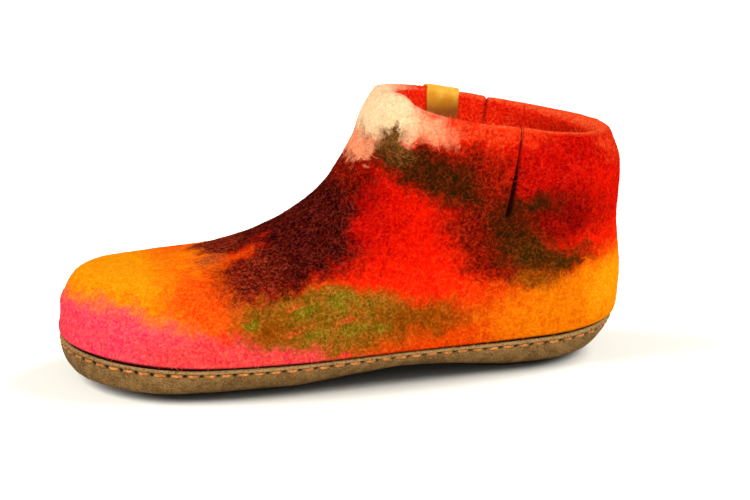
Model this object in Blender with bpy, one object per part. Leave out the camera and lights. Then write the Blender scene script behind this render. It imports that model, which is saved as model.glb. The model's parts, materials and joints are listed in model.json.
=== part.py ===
# Felt ankle slipper for the left foot, standing empty on its leather sole.
# Metres, +Z up. Toe toward -X, heel toward +X, outer side of the foot toward -Y.
# The tables are in millimetres, with x from the toe line and z from the floor.
from collections import namedtuple

import bpy
import numpy as np

for old in list(bpy.data.objects):
    bpy.data.objects.remove(old, do_unlink=True)

MM = 0.001

# Named sizes
FELT = 5.0          # felt wall
LEATHER = 2.6       # sole leather
STRAP = 1.3         # pull tab leather
SPACE = 0.3         # between two pieces that lie on each other
BED = LEATHER + SPACE
LENGTH = 265.0      # length the side curves are spread over
AROUND = 60         # points round each ring of the shoe
SHARP = np.radians(50)

# The shoe as a stack of level rings, from the tread up to the collar.
# front and back are the ends of a ring, dip is how far its sides hang below a line
# between the ends, half is half its width at the ball. The two rounds are how far the
# toe and heel curves reach along the ring. share is how much it follows the foot sides.
Ring = namedtuple("Ring", "front_x front_z back_x back_z dip half front_round back_round share")
RINGS = [
    Ring(24.0, 0.0, 240.0, 0.0, 0.0, 36.4, 48.0, 32.0, 1.00),       # tread edge
    Ring(6.4, 4.0, 252.0, 4.5, -0.4, 46.4, 45.0, 36.5, 1.00),       # sole roll
    Ring(2.4, 18.8, 261.6, 18.4, 3.9, 51.4, 69.0, 42.0, 1.00),      # sole edge
    Ring(2.8, 27.5, 263.6, 30.0, 2.5, 52.2, 74.0, 43.0, 0.97),      # felt bulge
    Ring(3.8, 37.0, 264.2, 40.0, 1.5, 49.0, 85.0, 44.0, 0.86),      # toe cap
    Ring(14.5, 49.5, 263.6, 47.5, 1.8, 44.7, 110.0, 44.0, 0.64),    # toe top
    Ring(47.0, 52.4, 262.8, 57.0, 1.4, 41.8, 130.0, 44.0, 0.45),    # vamp front
    Ring(79.5, 58.2, 262.2, 66.2, 0.5, 40.2, 130.0, 44.0, 0.29),    # vamp
    Ring(104.5, 68.2, 262.6, 74.6, 0.2, 39.8, 110.0, 45.0, 0.17),   # low instep
    Ring(123.5, 82.8, 263.0, 82.6, 0.2, 38.8, 85.0, 47.0, 0.08),    # instep
    Ring(138.0, 104.5, 262.6, 92.4, 0.6, 38.0, 61.0, 50.0, 0.00),   # throat
    Ring(148.2, 124.1, 258.6, 103.5, 2.0, 37.4, 42.0, 58.0, 0.00),  # collar
]
SOLE_EDGE = 2.0
COLLAR = len(RINGS) - 1.0

# Width of each side along the foot, as a share of half
Side = namedtuple("Side", "along outer inner")
SIDES = [
    Side(0.00, 1.01, 0.90),  # toe
    Side(0.20, 1.04, 0.95),  # toes
    Side(0.37, 1.00, 0.93),  # ball
    Side(0.62, 0.83, 0.76),  # waist
    Side(0.85, 0.73, 0.68),  # heel
    Side(1.00, 0.69, 0.68),  # heel back
]
TOE_SWING = 5.0     # toe tip toward the inner side
SWING_FROM = 120.0  # where the swing begins
TOE_FULLNESS, HEEL_FULLNESS = 2.2, 2.1  # power of the end ovals, 2 is an ellipse

# Underside: flat under forefoot and heel, lifted elsewhere
TOE_SPRING, SPRING_FROM = 3.2, 55.0
ARCH_LIFT, ARCH_MIDDLE, ARCH_REACH = 5.6, 152.0, 54.0
HEEL_LIFT, HEEL_FROM, HEEL_REACH = 1.4, 232.0, 33.0

# Slits through the collar behind the ankle
Slit = namedtuple("Slit", "name side top_x foot_x foot_z top_width foot_width")
SLITS = [
    Slit("outer_slit", -1, 206.3, 199.5, 71.5, 0.9, 2.0),
    Slit("inner_slit", 1, 210.4, 203.2, 71.5, 0.9, 2.0),
]

# Pull tab over the collar on the inner side
TAB_FROM, TAB_TO = 178.6, 195.4
TAB_FOOT = COLLAR - 1.55


def blend(places, values, at):
    """Smooth curve through a table column."""
    places = np.asarray(places, float)
    values = np.asarray(values, float)
    slopes = np.gradient(values, places, axis=0)
    at = np.clip(np.asarray(at, float), places[0], places[-1])
    i = np.clip(np.searchsorted(places, at, side="right") - 1, 0, len(places) - 2)
    span = places[i + 1] - places[i]
    s = (at - places[i]) / span
    if values.ndim > 1:
        s = s[..., None]
        span = span[..., None]
    rise = 3 * s**2 - 2 * s**3
    lead = (s - 2 * s**2 + s**3) * span
    trail = (s**3 - s**2) * span
    return values[i] * (1 - rise) + values[i + 1] * rise + slopes[i] * lead + slopes[i + 1] * trail


def rounding(s, power):
    """Quarter of a full oval, 0 at the end of a ring and 1 where the side begins."""
    s = np.clip(s, 0.0, 1.0)
    return (1 - (1 - s) ** power) ** (1 / power)


def underside(x):
    """Height of the tread above the floor along the foot."""
    spring = TOE_SPRING * np.clip((SPRING_FROM - x) / SPRING_FROM, 0, 1) ** 2
    arch = ARCH_LIFT * np.clip(1 - ((x - ARCH_MIDDLE) / ARCH_REACH) ** 2, 0, 1) ** 2
    heel = HEEL_LIFT * np.clip((x - HEEL_FROM) / HEEL_REACH, 0, 1) ** 2
    return spring + arch + heel


def skin(turn, level):
    """Point on the outside of the shoe: turn 0 is the toe, pi the heel, level counts rings."""
    turn, level = np.broadcast_arrays(np.asarray(turn, float), np.asarray(level, float))
    ring = Ring(*np.moveaxis(blend(np.arange(len(RINGS)), RINGS, level), -1, 0))
    t = (1 - np.cos(turn)) / 2
    reach = ring.back_x - ring.front_x
    x = ring.front_x + t * reach
    z = ring.front_z + t * (ring.back_z - ring.front_z)
    z = z - ring.dip * (1 - np.abs(2 * t - 1) ** 3)
    z = z + underside(x) * np.clip(1 - level / SOLE_EDGE, 0, 1)
    along, outer, inner = np.array(SIDES).T
    on_inner = np.sin(turn) > 0
    foot = np.where(on_inner, blend(along, inner, x / LENGTH), blend(along, outer, x / LENGTH))
    wide = ring.half * (1 - ring.share + ring.share * foot)
    wide = wide * rounding(t * reach / ring.front_round, TOE_FULLNESS)
    wide = wide * rounding((1 - t) * reach / ring.back_round, HEEL_FULLNESS)
    swing = TOE_SWING * np.clip((SWING_FROM - x) / SWING_FROM, 0, 1) ** 2
    return np.stack([x, np.where(on_inner, wide, -wide) + swing, z], -1)


def unit(v):
    return v / np.linalg.norm(v, axis=-1, keepdims=True)


def frame_at(turn, level):
    """Skin point, outward direction and upward direction along the skin."""
    step = 0.002
    low = np.clip(np.asarray(level, float) - step, 0, COLLAR)
    high = np.clip(np.asarray(level, float) + step, 0, COLLAR)
    up = unit(skin(turn, high) - skin(turn, low))
    ahead = skin(turn + step, level) - skin(turn - step, level)
    return skin(turn, level), unit(np.cross(up, ahead)), up


def under_skin(turn, level, depth):
    point, outward, _ = frame_at(turn, level)
    return point - outward * depth


def over_rim(turn, angle, radius):
    """Point round the collar edge: angle 0 outside, pi inside."""
    point, outward, up = frame_at(turn, np.full_like(turn, COLLAR))
    middle = point - outward * FELT / 2
    return middle + radius * (np.cos(angle) * outward + np.sin(angle) * up)


def plan_inset(ring, amount):
    """Ring moved inward, level."""
    ahead = np.roll(ring, -1, axis=0) - np.roll(ring, 1, axis=0)
    inward = unit(np.stack([-ahead[:, 1], ahead[:, 0], np.zeros(len(ring))], -1))
    middle = ring.mean(axis=0) - ring
    sign = np.sign((inward * middle).sum(axis=1).mean())
    return ring + sign * amount * inward


def tube_faces(rings, around, closed):
    """Quads between neighbouring rings of points."""
    faces = []
    for r in range(rings if closed else rings - 1):
        s = (r + 1) % rings
        for j in range(around):
            k = (j + 1) % around
            faces.append((r * around + j, r * around + k, s * around + k, s * around + j))
    return faces


def lid_faces(start, around, flip):
    """Rungs straight across a ring, from toe to heel."""
    faces = [(start, start + 1, start + around - 1)]
    for j in range(1, around // 2 - 1):
        faces.append((start + j, start + j + 1, start + around - j - 1, start + around - j))
    half = around // 2
    faces.append((start + half - 1, start + half, start + half + 1))
    return [face[::-1] for face in faces] if flip else faces


def material(name, colour, roughness):
    mat = bpy.data.materials.new(name)
    mat.use_nodes = True
    shader = mat.node_tree.nodes["Principled BSDF"]
    shader.inputs["Base Color"].default_value = (*colour, 1.0)
    shader.inputs["Roughness"].default_value = roughness
    return mat


def add_piece(name, points, faces, mat):
    mesh = bpy.data.meshes.new(name)
    mesh.from_pydata((np.asarray(points) * MM).tolist(), [], faces)
    mesh.validate()
    mesh.shade_smooth()
    mesh.set_sharp_from_angle(angle=SHARP)
    if mat:
        mesh.materials.append(mat)
    piece = bpy.data.objects.new(name, mesh)
    bpy.context.scene.collection.objects.link(piece)
    return piece


TURNS = np.linspace(0.0, 2 * np.pi, AROUND, endpoint=False)


def ring_under(level, depth):
    return under_skin(TURNS, np.full(AROUND, float(level)), depth)


UPPER_FOOT = 0.40   # level of the lower edge of the felt wall
INSOLE_EASE = 0.35  # room round the insole


def felt_upper():
    """Hollow felt shell: outside upward, over the rim, inside downward, across the lower edge."""
    rings = []
    for level in (UPPER_FOOT, 0.8, 1.2, 1.6, 2.03):
        rings.append(ring_under(level, BED))
    for level, depth in ((2.07, 1.5), (2.14, 0.8), (2.28, 0.25), (2.55, 0.0)):
        rings.append(ring_under(level, depth))
    for level in np.arange(2.9, COLLAR + 0.01, 0.45):
        rings.append(ring_under(level, 0.0))
    for angle in np.radians([0, 36, 72, 108, 144, 180]):
        rings.append(over_rim(TURNS, angle, FELT / 2))
    for level in np.arange(COLLAR - 0.5, 2.9, -0.5):
        rings.append(ring_under(level, FELT))
    for level, depth in ((2.6, 5.3), (2.2, 6.4), (1.8, 7.4), (1.4, 7.9), (0.9, 7.9), (UPPER_FOOT, 7.9)):
        rings.append(ring_under(level, depth))
    faces = tube_faces(len(rings), AROUND, True)
    return np.concatenate(rings), faces


def leather_sole():
    """Dish of leather: bed inside, low wall, rounded edge, outside and tread."""
    rings = [ring_under(level, LEATHER) for level in (0.0, 0.3, 0.6, 0.9, 1.2, 1.5, 1.75, 1.92)]
    rings += [ring_under(1.96, 2.0), ring_under(1.96, 0.6)]
    rings += [ring_under(level, 0.0) for level in (1.92, 1.75, 1.5, 1.2, 0.9, 0.6, 0.3, 0.0)]
    faces = tube_faces(len(rings), AROUND, False)
    faces += lid_faces(0, AROUND, True)
    faces += lid_faces((len(rings) - 1) * AROUND, AROUND, False)
    return np.concatenate(rings), faces


def felt_insole():
    """Loose felt sole, flush with the lower edge of the felt wall."""
    rings = [
        ring_under(0.0, BED),
        plan_inset(ring_under(UPPER_FOOT, BED), INSOLE_EASE),
        plan_inset(ring_under(UPPER_FOOT, BED + FELT), INSOLE_EASE),
        ring_under(0.0, BED + FELT),
    ]
    faces = tube_faces(len(rings), AROUND, False)
    faces += lid_faces(0, AROUND, True)
    faces += lid_faces((len(rings) - 1) * AROUND, AROUND, False)
    return np.concatenate(rings), faces


def turn_at(x, level):
    """Turn on the inner side of the foot where a ring passes x."""
    ring = Ring(*np.moveaxis(blend(np.arange(len(RINGS)), RINGS, np.asarray(level, float)), -1, 0))
    t = (x - ring.front_x) / (ring.back_x - ring.front_x)
    return np.arccos(1 - 2 * np.clip(t, 0, 1))


def pull_tab():
    """Strip folded over the collar: the same path at two heights above the felt."""
    across = np.linspace(TAB_FROM, TAB_TO, 5)
    legs = np.linspace(TAB_FOOT, COLLAR, 6)
    sheets = []
    for lift in (SPACE, SPACE + STRAP):
        path = []
        for level in legs[:-1]:
            level = np.full(across.shape, level)
            path.append(under_skin(turn_at(across, level), level, -lift))
        top = np.full(across.shape, COLLAR)
        for angle in np.linspace(0, np.pi, 9):
            path.append(over_rim(turn_at(across, top), angle, FELT / 2 + lift))
        for level in legs[-2::-1]:
            level = np.full(across.shape, level)
            path.append(under_skin(turn_at(across, level), level, FELT + lift))
        sheets.append(np.array(path))
    rows, columns = sheets[0].shape[:2]
    points = np.concatenate([sheet.reshape(-1, 3) for sheet in sheets])

    def at(sheet, row, column):
        return sheet * rows * columns + row * columns + column

    faces = []
    for r in range(rows - 1):
        for c in range(columns - 1):
            quad = [(r, c), (r, c + 1), (r + 1, c + 1), (r + 1, c)]
            faces.append([at(0, *corner) for corner in quad])
            faces.append([at(1, *corner) for corner in quad[::-1]])
        for c in (0, columns - 1):
            edge = [at(0, r, c), at(0, r + 1, c), at(1, r + 1, c), at(1, r, c)]
            faces.append(edge if c == 0 else edge[::-1])
    for c in range(columns - 1):
        for r in (0, rows - 1):
            edge = [at(0, r, c), at(1, r, c), at(1, r, c + 1), at(0, r, c + 1)]
            faces.append(edge if r == 0 else edge[::-1])
    return points, faces


def slit_wedge(slit):
    """Thin wedge that opens one side of the collar, and runs on past its rim."""
    rim_z, end_z, point = 113.0, 130.0, 0.8
    lean = (slit.top_x - slit.foot_x) / (rim_z - slit.foot_z)
    end_x = slit.foot_x + lean * (end_z - slit.foot_z)
    outline = [
        (slit.foot_x - slit.foot_width / 2, slit.foot_z + point),
        (slit.foot_x, slit.foot_z),
        (slit.foot_x + slit.foot_width / 2, slit.foot_z + point),
        (end_x + slit.top_width / 2, end_z),
        (end_x - slit.top_width / 2, end_z),
    ]
    near, far = 20.0 * slit.side, 60.0 * slit.side
    points = [(x, near, z) for x, z in outline] + [(x, far, z) for x, z in outline]
    count = len(outline)
    faces = [tuple(range(count)), tuple(range(2 * count - 1, count - 1, -1))]
    for j in range(count):
        k = (j + 1) % count
        faces.append((k, j, j + count, k + count))
    return np.array(points), faces


def facing_out(points, faces):
    """Faces turned so that the enclosed volume counts positive."""
    total = 0.0
    for face in faces:
        a = points[face[0]]
        for b, c in zip(face[1:-1], face[2:]):
            total += np.dot(a, np.cross(points[b], points[c]))
    return faces if total > 0 else [tuple(face)[::-1] for face in faces]


PIECES = [
    ("felt_upper", felt_upper(), material("wool_felt", (0.75, 0.10, 0.02), 0.95)),
    ("leather_sole", leather_sole(), material("suede_leather", (0.20, 0.13, 0.07), 0.90)),
    ("felt_insole", felt_insole(), material("insole_felt", (0.45, 0.12, 0.06), 0.95)),
    ("pull_tab", pull_tab(), material("tab_leather", (0.70, 0.42, 0.10), 0.60)),
]

# The origin lies on the floor under the middle of the shoe
every = np.concatenate([points for _, (points, _), _ in PIECES])
low, high = every.min(axis=0), every.max(axis=0)
CENTRE = np.array([(low[0] + high[0]) / 2, (low[1] + high[1]) / 2, low[2]])

made = {}
for name, (points, faces), mat in PIECES:
    made[name] = add_piece(name, points - CENTRE, facing_out(points - CENTRE, faces), mat)

for slit in SLITS:
    points, faces = slit_wedge(slit)
    wedge = add_piece(slit.name, points - CENTRE, facing_out(points - points.mean(axis=0), faces), None)
    wedge.hide_render = True
    wedge.display_type = "WIRE"
    cut = made["felt_upper"].modifiers.new(slit.name, "BOOLEAN")
    cut.operation = "DIFFERENCE"
    cut.solver = "EXACT"
    cut.object = wedge
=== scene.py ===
# %% [markdown]
# # A felt ankle slipper
# This lesson dresses the plain solids of a felt slipper: a hollow felt upper, a dish of suede leather, a
# loose insole and a small leather pull tab. The imported model fixes every size and place, so it is loaded
# first.

# %% Load the model
import json
from collections import namedtuple

import bmesh
import bpy
import numpy as np
from mathutils import Matrix, Vector, noise

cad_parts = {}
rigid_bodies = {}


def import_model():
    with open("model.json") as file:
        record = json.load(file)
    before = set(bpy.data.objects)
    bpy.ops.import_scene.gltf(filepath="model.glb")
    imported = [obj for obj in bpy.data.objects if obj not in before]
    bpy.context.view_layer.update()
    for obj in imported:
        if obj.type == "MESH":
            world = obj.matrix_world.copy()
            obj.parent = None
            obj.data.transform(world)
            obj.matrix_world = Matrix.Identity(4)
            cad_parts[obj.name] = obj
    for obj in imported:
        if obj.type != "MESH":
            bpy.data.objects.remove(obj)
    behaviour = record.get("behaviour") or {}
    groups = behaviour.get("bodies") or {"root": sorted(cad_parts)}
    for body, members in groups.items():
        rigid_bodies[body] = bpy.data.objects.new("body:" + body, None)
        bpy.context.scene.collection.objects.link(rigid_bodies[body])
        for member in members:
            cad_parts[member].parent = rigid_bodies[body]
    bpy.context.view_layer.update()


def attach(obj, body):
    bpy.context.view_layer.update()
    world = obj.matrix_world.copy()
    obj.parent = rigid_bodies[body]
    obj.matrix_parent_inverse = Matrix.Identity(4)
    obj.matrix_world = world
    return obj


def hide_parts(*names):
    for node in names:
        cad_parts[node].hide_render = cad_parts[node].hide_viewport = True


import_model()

# %% [markdown]
# ## The last
# A felt slipper is shaped wet over a wooden last, so every surface here comes from one description of that
# last: a stack of level rings from the tread up to the collar. It could be sculpted by hand, but a table
# with named columns can be read, and the felt, the sole and the tab can all be asked for a point on it. The
# numbers are millimetres, with x from the toe line and z from the floor.

# %% Rings and sides of the last
MM = 0.001
FELT = 5.0
LEATHER = 2.6
SPACE = 0.3
BED = LEATHER + SPACE
LENGTH = 265.0

Ring = namedtuple("Ring", "front_x front_z back_x back_z dip half front_round back_round share")
RINGS = [
    Ring(24.0, 0.0, 240.0, 0.0, 0.0, 36.4, 48.0, 32.0, 1.00),       # tread edge
    Ring(6.4, 4.0, 252.0, 4.5, -0.4, 46.4, 45.0, 36.5, 1.00),       # sole roll
    Ring(2.4, 18.8, 261.6, 18.4, 3.9, 51.4, 69.0, 42.0, 1.00),      # sole edge
    Ring(2.8, 27.5, 263.6, 30.0, 2.5, 52.2, 74.0, 43.0, 0.97),      # felt bulge
    Ring(3.8, 37.0, 264.2, 40.0, 1.5, 49.0, 85.0, 44.0, 0.86),      # toe cap
    Ring(14.5, 49.5, 263.6, 47.5, 1.8, 44.7, 110.0, 44.0, 0.64),    # toe top
    Ring(47.0, 52.4, 262.8, 57.0, 1.4, 41.8, 130.0, 44.0, 0.45),    # vamp front
    Ring(79.5, 58.2, 262.2, 66.2, 0.5, 40.2, 130.0, 44.0, 0.29),    # vamp
    Ring(104.5, 68.2, 262.6, 74.6, 0.2, 39.8, 110.0, 45.0, 0.17),   # low instep
    Ring(123.5, 82.8, 263.0, 82.6, 0.2, 38.8, 85.0, 47.0, 0.08),    # instep
    Ring(138.0, 104.5, 262.6, 92.4, 0.6, 38.0, 61.0, 50.0, 0.00),   # throat
    Ring(148.2, 124.1, 258.6, 103.5, 2.0, 37.4, 42.0, 58.0, 0.00),  # collar
]
SOLE_EDGE = 2.0
COLLAR = len(RINGS) - 1.0

Side = namedtuple("Side", "along outer inner")
SIDES = [
    Side(0.00, 1.01, 0.90),  # toe
    Side(0.20, 1.04, 0.95),  # toes
    Side(0.37, 1.00, 0.93),  # ball
    Side(0.62, 0.83, 0.76),  # waist
    Side(0.85, 0.73, 0.68),  # heel
    Side(1.00, 0.69, 0.68),  # heel back
]
TOE_SWING, SWING_FROM = 5.0, 120.0
TOE_FULLNESS, HEEL_FULLNESS = 2.2, 2.1
TOE_SPRING, SPRING_FROM = 3.2, 55.0
ARCH_LIFT, ARCH_MIDDLE, ARCH_REACH = 5.6, 152.0, 54.0
HEEL_LIFT, HEEL_FROM, HEEL_REACH = 1.4, 232.0, 33.0
print(len(RINGS), "rings over a length of", LENGTH, "mm")

# %% [markdown]
# ## A point on the last
# `skin` turns the table into a surface. A turn runs round the foot, 0 at the toe and half a circle at the
# heel, and a level counts rings. `frame_at` adds the outward and upward directions, so that a wall can be
# laid at any depth under the skin, and a rolled rim over its edge.

# %% Skin of the last


def blend(places, values, at):
    """Smooth curve through a table column."""
    places = np.asarray(places, float)
    values = np.asarray(values, float)
    slopes = np.gradient(values, places, axis=0)
    at = np.clip(np.asarray(at, float), places[0], places[-1])
    i = np.clip(np.searchsorted(places, at, side="right") - 1, 0, len(places) - 2)
    span = places[i + 1] - places[i]
    s = (at - places[i]) / span
    if values.ndim > 1:
        s = s[..., None]
        span = span[..., None]
    rise = 3 * s**2 - 2 * s**3
    lead = (s - 2 * s**2 + s**3) * span
    trail = (s**3 - s**2) * span
    return values[i] * (1 - rise) + values[i + 1] * rise + slopes[i] * lead + slopes[i + 1] * trail


def rounding(s, power):
    s = np.clip(s, 0.0, 1.0)
    return (1 - (1 - s) ** power) ** (1 / power)


def underside(x):
    """Height of the tread: toe spring, arch and heel lift, flat between them."""
    spring = TOE_SPRING * np.clip((SPRING_FROM - x) / SPRING_FROM, 0, 1) ** 2
    arch = ARCH_LIFT * np.clip(1 - ((x - ARCH_MIDDLE) / ARCH_REACH) ** 2, 0, 1) ** 2
    heel = HEEL_LIFT * np.clip((x - HEEL_FROM) / HEEL_REACH, 0, 1) ** 2
    return spring + arch + heel


def ring_at(level):
    return Ring(*np.moveaxis(blend(np.arange(len(RINGS)), RINGS, level), -1, 0))


def skin(turn, level):
    turn, level = np.broadcast_arrays(np.asarray(turn, float), np.asarray(level, float))
    ring = ring_at(level)
    t = (1 - np.cos(turn)) / 2
    reach = ring.back_x - ring.front_x
    x = ring.front_x + t * reach
    z = ring.front_z + t * (ring.back_z - ring.front_z)
    z = z - ring.dip * (1 - np.abs(2 * t - 1) ** 3)
    z = z + underside(x) * np.clip(1 - level / SOLE_EDGE, 0, 1)
    along, outer, inner = np.array(SIDES).T
    on_inner = np.sin(turn) > 0
    foot = np.where(on_inner, blend(along, inner, x / LENGTH), blend(along, outer, x / LENGTH))
    wide = ring.half * (1 - ring.share + ring.share * foot)
    wide = wide * rounding(t * reach / ring.front_round, TOE_FULLNESS)
    wide = wide * rounding((1 - t) * reach / ring.back_round, HEEL_FULLNESS)
    swing = TOE_SWING * np.clip((SWING_FROM - x) / SWING_FROM, 0, 1) ** 2
    return np.stack([x, np.where(on_inner, wide, -wide) + swing, z], -1)


def unit(v):
    return v / np.linalg.norm(v, axis=-1, keepdims=True)


def frame_at(turn, level):
    """Skin point, outward direction and upward direction along the skin."""
    step = 0.002
    level = np.asarray(level, float)
    up = unit(skin(turn, np.clip(level + step, 0, COLLAR)) - skin(turn, np.clip(level - step, 0, COLLAR)))
    ahead = skin(turn + step, level) - skin(turn - step, level)
    return skin(turn, level), unit(np.cross(up, ahead)), up


def turn_at(x, level):
    """Turn on the inner side where a ring passes x."""
    ring = ring_at(level)
    t = (x - ring.front_x) / (ring.back_x - ring.front_x)
    return np.arccos(1 - 2 * np.clip(t, 0, 1))


grid = skin(*np.meshgrid(np.linspace(0, 2 * np.pi, 241), np.linspace(0, COLLAR, 111), indexing="ij"))
low, high = grid.min(axis=(0, 1)), grid.max(axis=(0, 1))
CENTRE = np.array([(low[0] + high[0]) / 2, (low[1] + high[1]) / 2, 0.0])
print("table zero lies at", (-CENTRE).round(2), "mm in the frame; last measures", (high - low).round(1))

# %% [markdown]
# ## Meshes from rows of points
# Every piece below is a sheet of points in rows. One helper turns points and faces into an object, merges
# the points that meet, turns all faces outward and stores any number per point, such as where the inside
# begins.

# %% Mesh helpers
SHARP = np.radians(50)


def new_object(name, data):
    """An object that is linked to the scene."""
    made = bpy.data.objects.new(name, data)
    bpy.context.scene.collection.objects.link(made)
    return made


def turn_outward(mesh, merge=0.0):
    """Merges points that lie together, in millimetres, and turns the faces of a closed mesh outward."""
    shape = bmesh.new()
    shape.from_mesh(mesh)
    if merge:
        bmesh.ops.remove_doubles(shape, verts=shape.verts, dist=merge * MM)
    bmesh.ops.recalc_face_normals(shape, faces=shape.faces)
    shape.to_mesh(mesh)
    shape.free()


def add_piece(name, points, faces, values=None, merge=0.001):
    """Mesh object from points in table millimetres, with named numbers on its points."""
    mesh = bpy.data.meshes.new(name)
    mesh.from_pydata(((np.asarray(points) - CENTRE) * MM).tolist(), [], [tuple(map(int, f)) for f in faces])
    for key, numbers in (values or {}).items():
        attribute = mesh.attributes.new(key, "FLOAT", "POINT")
        attribute.data.foreach_set("value", np.asarray(numbers, np.float32).ravel())
    turn_outward(mesh, merge)
    mesh.shade_smooth()
    mesh.set_sharp_from_angle(angle=SHARP)
    return new_object(name, mesh)


def strip_faces(rows, columns, first=0, close_rows=False, close_columns=False):
    """Quads of a sheet whose points are stored row by row."""
    r = np.arange(rows if close_rows else rows - 1)[:, None]
    c = np.arange(columns if close_columns else columns - 1)[None, :]
    s, d = (r + 1) % rows, (c + 1) % columns
    quads = np.stack([r * columns + c, r * columns + d, s * columns + d, s * columns + c], -1)
    return (first + quads.reshape(-1, 4)).tolist()


def triangles(piece):
    piece.data.calc_loop_triangles()
    return len(piece.data.loop_triangles)


def soft_noise(points, size, seed):
    """Smooth noise from -1 to 1 with bumps about size millimetres wide."""
    shifted = np.asarray(points).reshape(-1, 3) / size + seed
    return np.array([noise.noise(Vector(p)) for p in shifted]).reshape(np.shape(points)[:-1])


# %% [markdown]
# ## The felt upper
# The upper is one thick skin of wool felt. It runs up from inside the sole, swells over the leather's edge,
# climbs to the collar, rolls over the rim and comes down again inside. Solidify could give a sheet its
# wall, but here the wall changes: it is thin where the sole grips it and soft and round at the rim. So the
# rows follow that path by name.

# %% Rows of the felt wall
UPPER_FOOT = 0.40
PINCH, SWELL = 1.94, 2.12
MATCHED = 6.8
Depth = namedtuple("Depth", "level inside")
INNER_WALL = [
    Depth(0.4, 7.9), Depth(1.4, 7.9), Depth(1.8, 7.4), Depth(2.2, 6.4), Depth(2.6, 5.3), Depth(2.9, FELT),
]
outer_levels = np.concatenate([
    np.linspace(UPPER_FOOT, 1.85, 5),
    np.linspace(1.92, SWELL + 0.05, 16),
    np.linspace(2.4, MATCHED, 38)[:-1],
    np.linspace(MATCHED, COLLAR, 42)[:-1],
])
rim_angles = np.linspace(0, np.pi, 11)
inner_levels = np.concatenate([
    np.linspace(COLLAR, MATCHED, 42)[1:],
    np.linspace(MATCHED, UPPER_FOOT, 13)[1:],
])
row_level = np.concatenate([outer_levels, np.full(len(rim_angles), COLLAR), inner_levels])
row_angle = np.concatenate([np.zeros(len(outer_levels)), rim_angles, np.full(len(inner_levels), np.pi)])


def outer_depth(level):
    """Depth of the felt's outside under the skin: behind the leather, then a round swell."""
    s = np.clip((level - PINCH) / (SWELL - PINCH), 0, 1)
    return BED * (1 - np.sqrt(1 - (1 - s) ** 2))


def inner_depth(level):
    """Depth of the felt's inside under the skin."""
    return np.interp(level, *np.array(INNER_WALL).T)


print(len(row_level), "rows, of them", len(outer_levels), "outside and", len(rim_angles), "round the rim")

# %% [markdown]
# ## Slits beside the ankle
# One cut through each side lets the collar open for the foot. A Boolean would leave knife edges, and felt
# has none, so the columns of points are laid along the cut: they part above its foot, lie close together
# beside it, and the wall rounds off toward it. The gap is widest low down, nearly shut above, and a mere
# line inside.

# %% Columns of the felt wall
Slit = namedtuple("Slit", "side top_x foot_x foot_z rim_z bow")
OUTER_SLIT = Slit(-1, 206.3, 199.5, 71.5, 113.0, 0.5)
INNER_SLIT = Slit(1, 210.4, 203.2, 71.5, 113.0, 0.0)
Gap = namedtuple("Gap", "share half")
SLIT_GAP = [
    Gap(0.00, 0.00), Gap(0.03, 0.60), Gap(0.10, 0.95), Gap(0.34, 0.85), Gap(0.48, 0.55), Gap(0.62, 0.20),
    Gap(0.75, 0.12), Gap(1.00, 0.14),
]
SHUT, SHUT_INSIDE = 0.12, 0.92
row_shut = 1 - SHUT_INSIDE * row_angle / np.pi  # the cut narrows to a line on the inside
EDGE_ROUND, SHARPER_INSIDE = 1.8, 0.6
BESIDE = np.array([0.0, 0.25, 0.6, 1.05, 1.6, 2.3])
BESIDE_END, WELL_AWAY = 3.1, 9.0
FRONT_COLUMNS, BACK_COLUMNS = 350, 190


def slit_turn(slit, level):
    """Turn of the cut on each row, height of that point, and turn for one millimetre there."""
    z = np.full(level.shape, slit.foot_z)
    for _ in range(6):
        share = slit_share(slit, z)
        bow = np.clip(4 * share * (1 - share), 0, 1) * slit.bow
        turn = turn_at(slit.foot_x + (slit.top_x - slit.foot_x) * share + bow, level)
        z = skin(turn * slit.side, level)[..., 2]
    ring = ring_at(level)
    return turn, z, 2 / ((ring.back_x - ring.front_x) * np.sin(turn))


def slit_share(slit, z):
    """Height along a cut, 0 at its foot and 1 at the rim."""
    return (z - slit.foot_z) / (slit.rim_z - slit.foot_z)


def half_gap(slit, z):
    return np.interp(slit_share(slit, z), *np.array(SLIT_GAP).T)


def between(start, end, start_mm, end_mm, start_gap, end_gap, count):
    """Columns from one cut to the other on every row, close together at both ends."""
    start_gap, end_gap = start_gap * row_shut, end_gap * row_shut
    first = start[:, None] + (start_gap[:, None] + BESIDE) * start_mm[:, None]
    last = end[:, None] - (end_gap[:, None] + BESIDE[::-1]) * end_mm[:, None]
    from_here = start + (start_gap + BESIDE_END) * start_mm
    to_here = end - (end_gap + BESIDE_END) * end_mm
    share = np.linspace(0, 1, count)
    middle = from_here[:, None] * (1 - share) + to_here[:, None] * share
    return np.concatenate([first, middle, last], axis=1)


outer_turn, outer_z, outer_mm = slit_turn(OUTER_SLIT, row_level)
inner_turn, inner_z, inner_mm = slit_turn(INNER_SLIT, row_level)
outer_gap, inner_gap = half_gap(OUTER_SLIT, outer_z), half_gap(INNER_SLIT, inner_z)
front = between(-outer_turn, inner_turn, outer_mm, inner_mm, outer_gap, inner_gap, FRONT_COLUMNS)
back = between(inner_turn, 2 * np.pi - outer_turn, inner_mm, outer_mm, inner_gap, outer_gap, BACK_COLUMNS)
open_rows = [int((gap > 0).sum()) for gap in (outer_gap, inner_gap)]
print("open rows at the outer and the inner slit", open_rows)
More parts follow.
